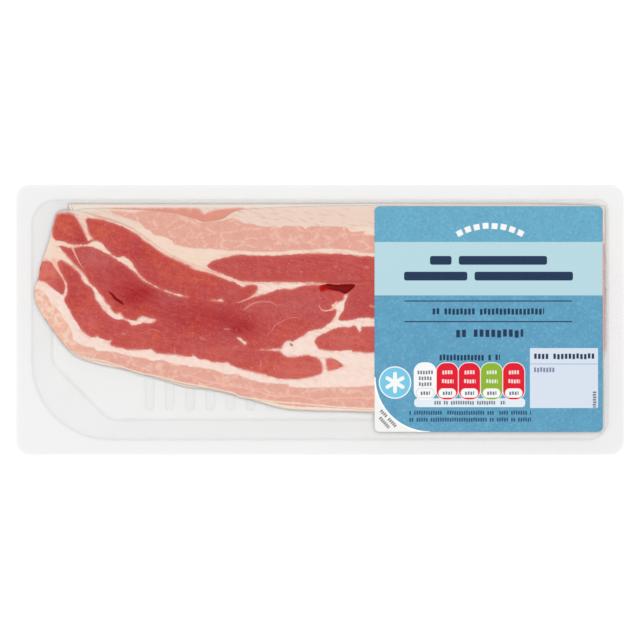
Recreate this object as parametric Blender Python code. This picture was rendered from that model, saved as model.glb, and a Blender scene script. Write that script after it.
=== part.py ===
"""Flat sealed pack of streaky bacon, built for Blender 4.5 in metres with +Z up.

A clear thermoformed tray holds fourteen rashers in two shingled piles of seven.
A clear lid film is sealed to the tray's flange, and a printed label lies on the film.
The origin is under the middle of the tray, on the surface that it stands on.
"""

import math

import bmesh
import bpy
from mathutils import Vector

MM = 0.001

# Tray, in millimetres. The four corners run front right, rear right, rear left, front left.
TRAY_LENGTH = 270.0
TRAY_WIDTH = 120.0
FLANGE_TOP = 14.0
WALL = 0.6
FLANGE_CORNER = 6.2
FLANGE_SIDE = 7.3
FLANGE_END = 7.0
MOUTH_RADII = (8.5, 4.0, 10.5, 34.0)
FOOT_SIDE_LEFT = 16.0
FOOT_SIDE_RIGHT = 13.0
FOOT_FRONT = 16.0
FOOT_REAR = 11.5
FOOT_RADII = (7.0, 5.0, 8.0, 6.0)
PEEL_CORNER_FLAT = 31.0
CORNER_POINTS = 10

# The wall's inner face as (share of the way from mouth to foot, outward growth, height).
WALL_PROFILE = (
    (0.0, 0.8, FLANGE_TOP),
    (0.0, 0.23, FLANGE_TOP - 0.23),
    (0.0, 0.0, FLANGE_TOP - 0.8),
    (0.04, 0.0, FLANGE_TOP - 3.2),
    (0.93, 0.0, 2.2),
    (0.985, 0.0, 1.2),
    (1.0, -0.5, 0.75),
    (1.0, -1.6, WALL),
)
# The same face seen from outside, one wall thickness away.
SKIN_PROFILE = (
    (0.0, 0.95, FLANGE_TOP - WALL),
    (0.0, 0.62, FLANGE_TOP - 0.95),
    (0.04, 0.62, FLANGE_TOP - 3.3),
    (0.93, 0.6, 2.0),
    (0.985, 0.5, 0.9),
    (1.0, 0.0, 0.25),
    (1.0, -1.2, 0.0),
)

# Drainage ribs pressed up out of the tray's floor.
RIB_COUNT = 22
RIB_PITCH = 9.0
RIB_FIRST_X = -76.0
RIB_WIDTH = 4.6
RIB_HEIGHT = 0.8
RIB_FRONT_Y = -41.0
RIB_REAR_Y = 44.5
RIB_END_POINTS = 5

# Bacon: two piles of seven rashers, lean edges meeting on a seam that leans to the front.
LAYERS = 7
RASHER_THICKNESS = 1.5
CLEARANCE = 0.3
LAYER_PITCH = RASHER_THICKNESS + CLEARANCE
BACON_BASE = WALL + RIB_HEIGHT + CLEARANCE
RASHER_EDGE = 0.4
OUTLINE_POINTS = 56
CURVE_STEPS = 8
SEAM_GAP = 0.9
SEAM_SHIFT = 2.0
END_SHIFT = 0.7
EDGE_WANDER = 0.7

# Outline of the top front rasher, in millimetres, anticlockwise from its left tip.
FRONT_EDGE = (
    (-126.9, 11.4),
    (-125.0, 4.8),
    (-116.3, -7.0),
    (-112.8, -12.1),
    (-104.8, -17.4),
    (-86.1, -21.9),
    (-55.9, -30.3),
    (-47.5, -31.0),
    (-20.0, -37.9),
    (-8.9, -39.5),
    (23.8, -40.8),
    (60.0, -41.5),
    (98.0, -38.0),
    (118.0, -29.0),
    (126.6, -14.0),
)
SEAM = (
    (127.0, 20.6),
    (60.0, 18.5),
    (15.5, 16.3),
    (-25.8, 15.2),
    (-42.2, 19.0),
    (-65.7, 27.8),
    (-84.4, 40.3),
    (-101.2, 46.0),
    (-109.8, 48.0),
)
LEFT_END = (
    (-116.4, 47.2),
    (-120.6, 33.6),
    (-124.8, 23.8),
    (-125.0, 18.1),
)
# Rind edge of the top rear rasher, from its right tip to its left tip, and of those beneath.
REAR_EDGE_TOP = (
    (126.6, 35.0),
    (124.3, 46.8),
    (118.0, 50.9),
    (24.0, 50.8),
    (-8.9, 50.4),
    (-31.1, 49.4),
    (-42.6, 44.9),
    (-52.0, 43.4),
    (-60.8, 46.3),
    (-79.9, 48.8),
    (-100.0, 49.6),
)
REAR_EDGE_UNDER = (
    (126.6, 35.0),
    (124.3, 46.8),
    (112.0, 51.2),
    (40.0, 51.7),
    (-30.0, 51.5),
    (-90.0, 51.8),
    (-112.5, 51.6),
)

# Lid film and label.
FILM_THICKNESS = 0.2
FILM_MARGIN = 0.3
LABEL_THICKNESS = 0.2
LABEL_LEFT = 24.2
LABEL_RIGHT = 126.0
LABEL_FRONT = -50.0
LABEL_REAR = 50.8
LABEL_RADII = (2.6, 2.6, 1.2, 1.2)

SQUARE_TURN = math.pi / 2
HALF_ROOT = math.sqrt(0.5)


def clear_scene():
    """Removes every object that the scene starts with."""
    for item in list(bpy.data.objects):
        bpy.data.objects.remove(item, do_unlink=True)


def material(name, colour, roughness, alpha=1.0):
    """A Principled material of one colour; nothing in this pack is metal."""
    finish = bpy.data.materials.new(name)
    finish.use_nodes = True
    shader = finish.node_tree.nodes["Principled BSDF"]
    shader.inputs["Base Color"].default_value = (*colour, 1.0)
    shader.inputs["Roughness"].default_value = roughness
    shader.inputs["Metallic"].default_value = 0.0
    shader.inputs["Alpha"].default_value = alpha
    return finish


def corner(point, heading, radius, flat):
    """A left turn at a sharp corner: two eighth-circles with a straight between them."""
    forward = Vector((math.cos(heading), math.sin(heading)))
    left = Vector((-forward.y, forward.x))
    reach = radius + flat * HALF_ROOT
    centre = Vector(point) - forward * reach + left * radius
    step_over = (forward + left) * (flat * HALF_ROOT)
    points = []
    for index in range(CORNER_POINTS):
        turn = SQUARE_TURN * index / (CORNER_POINTS - 1)
        middle = centre if 2 * index < CORNER_POINTS else centre + step_over
        points.append(middle + radius * (forward * math.sin(turn) - left * math.cos(turn)))
    return points


def rounded_box(left, right, front, rear, radii, flats=(0.0, 0.0, 0.0, 0.0)):
    """A rectangle with its own radius, and its own 45 degree flat, at each corner."""
    sharp = ((right, front), (right, rear), (left, rear), (left, front))
    points = []
    for index, place in enumerate(sharp):
        points += corner(place, index * SQUARE_TURN, radii[index], flats[index])
    return points


def tray_section(share, growth):
    """The tray's outline between its mouth (share 0) and its foot (share 1)."""
    half_length = TRAY_LENGTH / 2
    half_width = TRAY_WIDTH / 2

    def between(mouth, foot):
        return mouth + (foot - mouth) * share

    radii = [between(*pair) + growth for pair in zip(MOUTH_RADII, FOOT_RADII)]
    return rounded_box(
        -half_length + between(FLANGE_SIDE, FOOT_SIDE_LEFT) - growth,
        half_length - between(FLANGE_SIDE, FOOT_SIDE_RIGHT) + growth,
        -half_width + between(FLANGE_END, FOOT_FRONT) - growth,
        half_width - between(FLANGE_END, FOOT_REAR) + growth,
        radii,
        (0.0, 0.0, 0.0, PEEL_CORNER_FLAT * share),
    )


def flange_outline(growth):
    """The outer edge of the flange, moved outward by growth."""
    length = TRAY_LENGTH / 2 + growth
    width = TRAY_WIDTH / 2 + growth
    return rounded_box(-length, length, -width, width, (FLANGE_CORNER + growth,) * 4)


def section_at(height, clearance):
    """The free section inside the tray's wall at a height, kept clear of the wall."""
    for upper, lower in zip(WALL_PROFILE, WALL_PROFILE[1:]):
        if upper[2] >= height >= lower[2]:
            part = (upper[2] - height) / (upper[2] - lower[2])
            share = upper[0] + (lower[0] - upper[0]) * part
            growth = upper[1] + (lower[1] - upper[1]) * part
            return tray_section(share, growth - clearance)
    raise ValueError("no tray wall at this height")


def solid_from_rings(name, rings, finish):
    """A closed object from rings of equal length, given from the first cap to the last."""
    shape = bmesh.new()
    loops = []
    for points, height in rings:
        loops.append([shape.verts.new((p[0] * MM, p[1] * MM, height * MM)) for p in points])
    for lower, upper in zip(loops, loops[1:]):
        for index in range(len(lower)):
            after = (index + 1) % len(lower)
            shape.faces.new((lower[index], lower[after], upper[after], upper[index]))
    shape.faces.new(list(reversed(loops[0])))
    shape.faces.new(loops[-1])
    bmesh.ops.recalc_face_normals(shape, faces=shape.faces)
    mesh = bpy.data.meshes.new(name)
    shape.to_mesh(mesh)
    shape.free()
    mesh.shade_smooth()
    mesh.set_sharp_from_angle(angle=math.radians(35))
    mesh.materials.append(finish)
    made = bpy.data.objects.new(name, mesh)
    bpy.context.scene.collection.objects.link(made)
    return made


def rib_outline(centre_x, width):
    """A long rib seen from above: straight sides and half-round ends."""
    radius = width / 2
    ends = ((RIB_FRONT_Y + RIB_WIDTH / 2, math.pi), (RIB_REAR_Y - RIB_WIDTH / 2, 0.0))
    points = []
    for centre_y, start in ends:
        for index in range(RIB_END_POINTS):
            turn = start + math.pi * index / (RIB_END_POINTS - 1)
            points.append((centre_x + radius * math.cos(turn), centre_y + radius * math.sin(turn)))
    return points


def ribs(name, base_width, top_width, low, high, finish):
    """All the ribs as one hidden helper that a Boolean reads."""
    pieces = []
    for index in range(RIB_COUNT):
        x = RIB_FIRST_X + index * RIB_PITCH
        rings = ((rib_outline(x, base_width), low), (rib_outline(x, top_width), high))
        pieces.append(solid_from_rings(f"{name}_{index}", rings, finish))
    joined = bmesh.new()
    for piece in pieces:
        joined.from_mesh(piece.data)
        bpy.data.objects.remove(piece, do_unlink=True)
    mesh = bpy.data.meshes.new(name)
    joined.to_mesh(mesh)
    joined.free()
    helper = bpy.data.objects.new(name, mesh)
    bpy.context.scene.collection.objects.link(helper)
    helper.hide_render = True
    helper.display_type = "WIRE"
    return helper


def build_tray(finish):
    """Floor, sloping wall and flange in one shell of even thickness, with pressed ribs."""
    rings = [(tray_section(share, growth), z) for share, growth, z in reversed(WALL_PROFILE)]
    edge = WALL / 4
    rings.append((flange_outline(-edge), FLANGE_TOP))
    rings.append((flange_outline(0.0), FLANGE_TOP - edge))
    rings.append((flange_outline(0.0), FLANGE_TOP - WALL + edge))
    rings.append((flange_outline(-edge), FLANGE_TOP - WALL))
    rings += [(tray_section(share, growth), z) for share, growth, z in SKIN_PROFILE]
    tray = solid_from_rings("tray", rings, finish)
    taper = RIB_HEIGHT
    rib_top = WALL + RIB_HEIGHT
    steps = (
        ("UNION", ribs("rib_top", RIB_WIDTH + taper, RIB_WIDTH - taper, WALL / 2, rib_top, finish)),
        ("DIFFERENCE", ribs("rib_groove", RIB_WIDTH, RIB_WIDTH - 2 * taper, -taper, RIB_HEIGHT, finish)),
    )
    for operation, helper in steps:
        boolean = tray.modifiers.new(helper.name, "BOOLEAN")
        boolean.operation = operation
        boolean.solver = "EXACT"
        boolean.object = helper
    return tray


def smooth_curve(points):
    """A Catmull-Rom curve from the first point to the last, as a fine chain of points."""
    ends = [points[0], *points, points[-1]]
    fine = []
    for index in range(1, len(points)):
        before, start, end, after = (Vector(ends[index + k]) for k in (-1, 0, 1, 2))
        for step in range(CURVE_STEPS):
            t = step / CURVE_STEPS
            bend = 2 * before - 5 * start + 4 * end - after
            twist = 3 * start - before - 3 * end + after
            fine.append(start + 0.5 * ((end - before) * t + bend * t**2 + twist * t**3))
    fine.append(Vector(points[-1]))
    return fine


def evenly_spaced(loop, count):
    """A closed chain of points resampled to a count of even steps."""
    lengths = [0.0]
    for index, point in enumerate(loop):
        lengths.append(lengths[-1] + (loop[(index + 1) % len(loop)] - point).length)
    even = []
    place = 0
    for index in range(count):
        wanted = lengths[-1] * index / count
        while lengths[place + 1] < wanted:
            place += 1
        part = (wanted - lengths[place]) / (lengths[place + 1] - lengths[place])
        even.append(loop[place].lerp(loop[(place + 1) % len(loop)], part))
    return even


def clipped(outline, room):
    """The outline cut back to a convex room whose points run anticlockwise."""
    for index, start in enumerate(room):
        along = room[(index + 1) % len(room)] - start
        kept = []
        for number, point in enumerate(outline):
            other = outline[(number + 1) % len(outline)]
            inside = along.cross(point - start)
            inside_other = along.cross(other - start)
            if inside >= 0:
                kept.append(point)
            if inside * inside_other < 0:
                kept.append(point.lerp(other, inside / (inside - inside_other)))
        outline = kept
    return outline


def thinned(outline, shortest):
    """The outline without points that crowd the one before them."""
    kept = []
    for point in outline:
        if not kept or (point - kept[-1]).length > shortest:
            kept.append(point)
    while (kept[-1] - kept[0]).length < shortest:
        kept.pop()
    return kept


def shrunk(outline, inset):
    """The outline moved inward along its corners' normals."""
    moved = []
    for index, point in enumerate(outline):
        before = (point - outline[index - 1]).normalized()
        after = (outline[(index + 1) % len(outline)] - point).normalized()
        tangent = (before + after).normalized()
        moved.append(point + Vector((-tangent.y, tangent.x)) * inset)
    return moved


def wander(x, layer, pile):
    """How far a rasher's long edge strays from the top one's, in millimetres."""
    if layer == LAYERS:
        return 0.0
    return EDGE_WANDER * math.sin(0.045 * x + 1.9 * layer + 2.6 * pile)


def seam_curve(layer, gap):
    """The line where the two piles meet, from right to left; it leans forward going down."""
    shift = gap - SEAM_SHIFT * (LAYERS - layer)
    return smooth_curve([(x, y + shift) for x, y in SEAM])


def front_outline(layer):
    """Outline of a front rasher; layer 7 is the top one."""
    depth = LAYERS - layer
    top = LEFT_END[0][1]
    low = LEFT_END[-1][1]
    rind = smooth_curve([(x, y + wander(x, layer, 0)) for x, y in FRONT_EDGE])
    end = []
    for x, y in LEFT_END:
        end.append((x + END_SHIFT * depth, y - SEAM_SHIFT * depth * (y - low) / (top - low)))
    return rind + seam_curve(layer, -SEAM_GAP / 2) + smooth_curve(end)


def rear_outline(layer):
    """Outline of a rear rasher, whose lean edge follows the front pile's."""
    rind = REAR_EDGE_TOP if layer == LAYERS else REAR_EDGE_UNDER
    edge = smooth_curve([(x, y + min(0.0, wander(x, layer, 1))) for x, y in rind])
    return edge + seam_curve(layer, SEAM_GAP / 2)[::-1]


def build_rasher(name, outline, layer, finish):
    """One slice with softly rounded edges, cut back to the tray's wall at its level."""
    low = BACON_BASE + (layer - 1) * LAYER_PITCH
    room = section_at(low, 1.5 * CLEARANCE)
    loop = clipped(evenly_spaced(outline, OUTLINE_POINTS), room)
    loop = thinned(loop, 2 * RASHER_EDGE)
    edge = shrunk(loop, RASHER_EDGE)
    rings = (
        (edge, low),
        (loop, low + RASHER_THICKNESS / 2),
        (edge, low + RASHER_THICKNESS),
    )
    return solid_from_rings(name, rings, finish)


def build_sheet(name, outline, low, thickness, finish):
    """A flat sheet of one outline."""
    return solid_from_rings(name, ((outline, low), (outline, low + thickness)), finish)


def build_pack():
    """Tray, two piles of rashers, lid film and label, from the floor up."""
    build_tray(material("clear_plastic", (0.90, 0.91, 0.90), 0.15, 0.30))
    meat = material("streaky_bacon", (0.62, 0.20, 0.16), 0.35)
    for layer in range(1, LAYERS + 1):
        build_rasher(f"rasher_front_{layer}", front_outline(layer), layer, meat)
        build_rasher(f"rasher_rear_{layer}", rear_outline(layer), layer, meat)
    film_low = BACON_BASE + LAYERS * LAYER_PITCH
    film = material("clear_film", (0.95, 0.95, 0.95), 0.10, 0.15)
    build_sheet("lid_film", flange_outline(-FILM_MARGIN), film_low, FILM_THICKNESS, film)
    outline = rounded_box(LABEL_LEFT, LABEL_RIGHT, LABEL_FRONT, LABEL_REAR, LABEL_RADII)
    label_low = film_low + FILM_THICKNESS + CLEARANCE
    print_finish = material("printed_label", (0.13, 0.38, 0.55), 0.45)
    build_sheet("label", outline, label_low, LABEL_THICKNESS, print_finish)


clear_scene()
build_pack()
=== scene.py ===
"""Dressed model of a sealed pack of streaky bacon, for Blender 4.5.

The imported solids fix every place. This script gives the rashers their lean and fat, the tray and
the lid film their clear plastic and the label its print, then sets a pale floor, soft studio
lights and a camera that looks straight down. Lengths are in millimetres unless a name says metres.
"""

from __future__ import annotations

import logging
import math
from dataclasses import dataclass, field
from enum import Enum
from typing import Any, Callable, Sequence, Union

import bpy
import numpy as np
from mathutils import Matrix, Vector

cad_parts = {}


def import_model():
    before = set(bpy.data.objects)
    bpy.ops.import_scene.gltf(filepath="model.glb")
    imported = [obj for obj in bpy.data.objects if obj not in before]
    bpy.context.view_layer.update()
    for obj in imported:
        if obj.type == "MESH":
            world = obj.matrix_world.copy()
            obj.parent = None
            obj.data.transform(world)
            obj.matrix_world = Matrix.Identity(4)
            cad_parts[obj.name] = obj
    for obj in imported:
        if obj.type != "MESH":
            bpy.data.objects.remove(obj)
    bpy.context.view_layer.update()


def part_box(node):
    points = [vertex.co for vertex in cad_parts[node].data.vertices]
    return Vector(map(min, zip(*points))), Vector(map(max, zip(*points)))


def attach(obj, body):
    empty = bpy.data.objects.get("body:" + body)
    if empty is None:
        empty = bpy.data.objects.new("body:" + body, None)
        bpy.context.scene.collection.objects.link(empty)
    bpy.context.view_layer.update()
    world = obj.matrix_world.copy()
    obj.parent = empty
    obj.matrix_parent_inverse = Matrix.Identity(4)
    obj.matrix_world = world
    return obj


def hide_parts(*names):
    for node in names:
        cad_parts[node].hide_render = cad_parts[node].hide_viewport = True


LOG = logging.getLogger("bacon_pack")
MM = 0.001
BODY = "root"
LAYERS = 7

Array = np.ndarray
Point = tuple[float, float]
Rib = tuple[float, float, float]

# Edges of the top rashers, in millimetres from the middle of the tray, each from left to right.
RIND_EDGE: tuple[Point, ...] = (
    (-126.9, 12.4), (-126.2, 8.0), (-124.6, 4.4), (-121.6, -0.4), (-118.6, -4.6), (-115.6, -8.6),
    (-112.6, -12.2), (-108.0, -15.4), (-103.4, -17.6), (-96.4, -18.8), (-88.0, -21.4),
    (-80.4, -23.9), (-73.0, -25.4), (-61.4, -28.4), (-48.0, -30.8), (-38.2, -33.2), (-34.9, -34.6),
    (-20.0, -36.9), (-5.8, -38.0), (8.4, -39.3), (24.0, -40.0), (60.0, -40.8), (98.0, -37.6),
    (118.0, -28.8), (126.6, -14.0),
)
LEAN_EDGE: tuple[Point, ...] = (
    (-126.9, 12.4), (-126.2, 15.8), (-124.9, 17.9), (-124.9, 21.0), (-123.4, 26.0),
    (-121.4, 31.2), (-120.0, 35.6), (-118.2, 42.6), (-116.5, 47.0), (-109.8, 48.0),
    (-101.2, 46.0), (-84.4, 40.3), (-65.7, 27.8), (-42.2, 19.0), (-25.8, 15.4), (15.5, 16.3),
    (60.0, 18.5), (127.0, 20.6),
)
REAR_LEAN_EDGE: tuple[Point, ...] = LEAN_EDGE[9:]
REAR_RIND_EDGE: tuple[Point, ...] = (
    (-109.8, 48.6), (-100.0, 49.6), (-79.9, 48.8), (-66.0, 47.6), (-60.8, 46.3), (-55.4, 45.0),
    (-52.0, 43.6), (-46.0, 44.2), (-42.6, 45.2), (-39.0, 47.6), (-33.0, 49.2), (-8.9, 50.4),
    (24.0, 50.8), (118.0, 50.9), (124.3, 46.8), (126.6, 35.0),
)

# Muscles of the slice, as closed outlines.
MUSCLES: dict[str, tuple[Point, ...]] = {
    "tip": (
        (-116.5, 47.1), (-114.6, 47.8), (-111.8, 48.3), (-108.0, 44.5), (-102.9, 34.4),
        (-103.6, 33.8), (-106.8, 33.4), (-110.1, 33.6), (-113.5, 34.7), (-116.9, 35.3),
        (-118.4, 36.7), (-118.7, 38.5), (-118.5, 41.2), (-117.8, 43.6),
    ),
    "main": (
        (-103.6, 44.8), (-100.8, 44.8), (-96.3, 44.1), (-89.5, 41.9), (-86.1, 40.4), (-80.4, 37.0),
        (-77.7, 34.7), (-74.6, 32.7), (-71.9, 30.6), (-68.8, 28.6), (-58.6, 24.0), (-55.5, 22.2),
        (-48.0, 20.2), (-41.1, 17.3), (-37.7, 16.5), (-34.4, 14.4), (-32.4, 15.2), (-30.2, 15.5),
        (-27.8, 14.7), (-28.0, 13.4), (-29.5, 11.3), (-31.1, 9.8), (-26.6, 10.7), (-22.2, 11.9),
        (-19.5, 13.0), (-15.1, 13.6), (-12.9, 13.3), (-7.1, 15.0), (-4.0, 15.3), (-0.4, 15.3),
        (14.2, 14.5), (12.0, 11.6), (10.8, 11.0), (10.1, 8.6), (5.5, 7.1), (5.2, 5.4), (7.3, 4.0),
        (6.9, 2.5), (4.8, -1.0), (3.0, -2.0), (1.2, -3.5), (-0.9, -4.1), (-4.9, -4.9),
        (-6.7, -6.3), (-9.3, -7.7), (-11.9, -9.5), (-13.9, -9.0), (-16.1, -10.2), (-17.0, -11.9),
        (-17.8, -12.6), (-28.1, -13.3), (-20.9, -13.9), (-17.8, -14.3), (-16.1, -15.9),
        (-13.9, -16.7), (-11.1, -16.7), (-5.8, -15.9), (-3.3, -16.4), (-1.2, -17.3), (0.2, -18.7),
        (0.9, -20.5), (1.2, -22.2), (0.6, -23.7), (-1.6, -24.6), (-4.9, -25.4), (-9.3, -26.1),
        (-13.8, -26.3), (-17.8, -26.0), (-20.9, -25.4), (-26.6, -23.7), (-35.3, -21.7),
        (-39.3, -19.9), (-41.1, -18.8), (-46.8, -18.8), (-49.7, -17.9), (-54.2, -16.9),
        (-56.6, -14.8), (-56.8, -16.0), (-59.9, -16.1), (-64.4, -15.4), (-68.8, -15.1),
        (-72.4, -14.6), (-74.8, -12.8), (-77.3, -13.1), (-81.7, -13.2), (-86.1, -13.0),
        (-92.7, -11.2), (-92.4, -8.7), (-95.0, -9.2), (-99.3, -6.9), (-99.6, -7.8), (-102.6, -7.2),
        (-104.5, -5.8), (-106.6, -3.2), (-113.2, 8.1), (-112.4, 10.5), (-112.2, 12.3),
        (-112.3, 15.6), (-113.5, 18.5), (-115.2, 21.6), (-116.5, 24.7), (-116.3, 27.4),
        (-116.3, 32.3), (-110.1, 32.3), (-100.8, 35.6), (-102.2, 37.9), (-103.4, 42.5),
    ),
    "heel": (
        (-124.1, 25.4), (-120.1, 25.7), (-118.1, 23.4), (-114.6, 18.5), (-113.5, 15.9),
        (-113.5, 12.4), (-114.6, 11.3), (-116.9, 12.7), (-119.5, 15.1), (-122.4, 17.0),
        (-125.4, 17.9), (-126.5, 20.5),
    ),
    "hidden_end": (
        (13.2, 12.7), (15.5, 15.6), (18.2, 17.2), (23.5, 16.7), (71.0, 19.4), (129.0, 22.1),
        (129.0, -14.3), (106.6, -11.2), (79.9, -6.3), (48.8, -1.9), (21.8, 1.0), (12.0, -0.3),
        (8.4, 0.1), (10.5, 4.0), (11.1, 7.1), (12.0, 9.2),
    ),
    "eye": (
        (-2.1, -9.5), (-0.9, -7.7), (1.2, -6.3), (3.0, -5.9), (4.8, -4.9), (7.5, -3.8),
        (10.5, -3.5), (12.9, -3.7), (15.1, -2.9), (16.4, -3.8), (17.5, -5.6), (18.6, -4.1),
        (20.7, -3.2), (48.8, -5.0), (79.9, -10.8), (48.8, -14.3), (17.5, -14.3), (14.7, -13.5),
        (12.0, -13.2), (8.4, -13.7), (0.6, -13.2), (-1.2, -11.6),
    ),
    "wedge": (
        (2.7, -17.9), (4.9, -17.3), (7.5, -18.3), (10.1, -20.1), (8.9, -21.2), (4.0, -22.6),
        (3.4, -21.2),
    ),
    "rear": (
        (-49.7, 24.0), (-48.4, 25.2), (-46.0, 26.3), (-39.5, 28.0), (-35.3, 28.5), (-20.9, 28.3),
        (-9.8, 28.9), (3.1, 29.2), (14.7, 28.6), (20.4, 28.0), (71.0, 27.8), (129.0, 34.1),
        (129.0, 19.4), (71.0, 16.7), (17.8, 15.4), (3.1, 16.2), (-4.0, 16.7), (-26.6, 16.9),
        (-33.7, 17.2), (-39.5, 19.0), (-48.4, 22.5),
    ),
}
# Wide fat seams that part the muscles.
FAT_SEAMS: tuple[tuple[Point, ...], ...] = (
    (
        (-119.9, 34.1), (-119.0, 35.2), (-116.9, 35.3), (-113.5, 34.7), (-110.1, 33.6),
        (-106.8, 33.4), (-103.6, 33.7), (-100.8, 35.2), (-98.6, 34.9), (-96.6, 34.1),
        (-95.2, 32.3), (-93.2, 30.2), (-92.0, 29.1), (-89.6, 27.8), (-88.0, 28.3), (-86.2, 27.8),
        (-83.6, 26.0), (-82.7, 24.2), (-81.1, 22.0), (-79.8, 20.0), (-77.6, 18.0), (-74.8, 16.1),
        (-70.7, 14.0), (-58.6, 10.1), (-64.4, 10.7), (-70.2, 13.0), (-77.3, 16.5), (-79.5, 18.2),
        (-84.6, 22.8), (-90.6, 26.7), (-97.9, 30.9), (-102.2, 32.4), (-105.2, 32.5),
        (-111.0, 31.8), (-115.4, 32.9),
    ),
    (
        (-117.2, 32.7), (-115.4, 32.3), (-113.8, 30.1), (-108.3, 24.0), (-105.7, 21.8),
        (-102.2, 16.7), (-99.3, 13.9), (-95.0, 7.9), (-93.2, 6.2), (-92.5, 4.4), (-90.6, 3.0),
        (-88.6, 3.2), (-87.7, 1.6), (-84.6, 0.2), (-82.3, -0.4), (-80.8, 0.5), (-79.7, 1.5),
        (-77.1, 1.1), (-72.7, -0.1), (-75.9, -1.8), (-78.2, -1.6), (-83.5, -2.7), (-84.8, -1.0),
        (-87.5, -0.1), (-91.0, 0.1), (-95.3, 3.2), (-97.0, 5.2), (-99.9, 9.6), (-100.5, 12.3),
        (-101.9, 14.3), (-104.3, 16.0), (-105.7, 17.6), (-106.8, 20.3), (-109.4, 22.8),
        (-112.3, 24.9), (-115.2, 26.3), (-117.2, 25.6),
    ),
    ((-49.4, 8.8), (-46.0, 8.8), (-44.0, 9.5), (-42.8, 7.8)),
    ((-37.0, -8.1), (-35.3, -7.7), (-34.2, -9.0), (-32.4, -10.1), (-33.7, -11.5), (-35.1, -9.9)),
)
# Thin fat seams, as open lines of (x, y, half width).
THIN_SEAMS: tuple[tuple[Rib, ...], ...] = (
    ((-118.1, 26.3, 1.3), (-115.9, 21.4, 0.6), (-113.5, 17.4, 0.4), (-112.6, 14.5, 0.35),
     (-112.9, 10.7, 0.3)),
    ((-110.1, 32.1, 0.6), (-107.1, 25.7, 0.25), (-105.1, 22.8, 0.1), (-102.8, 20.5, -0.1)),
    ((-24.0, -8.6, -0.05), (-22.9, -6.8, 0.05), (-21.1, -4.6, 0.1), (-20.0, -2.6, 0.1),
     (-17.3, -0.9, 0.12), (-14.5, 0.3, 0.1), (-12.2, 1.0, 0.15), (-10.2, 0.8, 0.1),
     (-7.5, 0.3, -0.1)),
    ((-77.1, 6.5, -0.1), (-74.5, 5.6, 0.0), (-70.7, 4.0, 0.0), (-67.2, 3.1, -0.05),
     (-58.6, 1.3, -0.1)),
    ((-29.5, 10.5, 0.45), (-33.7, 8.5, 0.3), (-36.9, 7.5, 0.1)),
    ((7.1, 7.4, 0.7), (5.8, 5.0, 0.7), (4.4, 4.3, 0.4), (2.0, 4.0, 0.4), (0.6, 4.5, 0.35),
     (-0.1, 5.8, 0.2)),
    ((-75.5, -4.6, -0.05), (-74.8, -4.1, 0.05), (-71.0, -5.3, 0.0), (-69.5, -7.0, 0.0),
     (-68.1, -8.1, -0.1)),
    ((-80.4, -6.3, 0.0), (-76.5, -5.0, 0.05)),
    ((-57.3, 23.1, 0.3), (-52.8, 21.9, 0.4), (-48.4, 21.1, 0.45), (-42.6, 18.8, 0.45),
     (-33.6, 15.9, 0.45), (-31.1, 16.5, 0.4)),
    ((-61.4, -24.1, 0.25), (-55.5, -25.4, 0.4), (-49.7, -27.4, 0.45), (-29.5, -31.2, 0.45),
     (-23.7, -33.2, 0.45), (-17.9, -34.1, 0.45), (-9.3, -33.9, 0.45), (-1.6, -35.8, 0.45),
     (8.4, -34.8, 0.45), (71.0, -33.9, 0.4), (124.3, -29.0, 0.4)),
    ((-113.8, -0.8, 0.35), (-115.2, -4.3, 0.35)),
    ((-110.0, -9.2, 0.4), (-109.7, -13.0, 0.4)),
    ((-93.7, -15.0, 0.35), (-95.0, -17.6, 0.25)),
    ((-63.0, -20.1, 0.4), (-62.2, -22.3, 0.35), (-60.8, -24.6, 0.35)),
    ((-43.4, -23.4, 0.45), (-42.5, -29.2, 0.4)),
    ((-13.9, -29.4, 0.4), (-13.8, -33.9, 0.35)),
    ((-46.0, 35.4, 0.25), (-46.0, 31.8, 0.35)),
)
# Splits where the meat has parted; the finish paints shadow into them and into the gap, lit red on
# one side.
SPLIT: tuple[Rib, ...] = (
    (-94.1, 12.7, 0.15), (-92.4, 11.3, 0.45), (-90.6, 9.2, 0.55), (-88.6, 7.9, 0.5),
    (-87.2, 6.5, 0.2),
)
GAP: tuple[Point, ...] = (
    (-0.2, 14.9), (3.4, 15.9), (7.5, 15.6), (15.5, 15.6), (13.2, 12.7), (11.2, 11.5), (10.1, 11.9),
    (8.3, 12.7), (6.0, 13.0), (3.1, 13.2), (0.5, 12.4),
)
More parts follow.
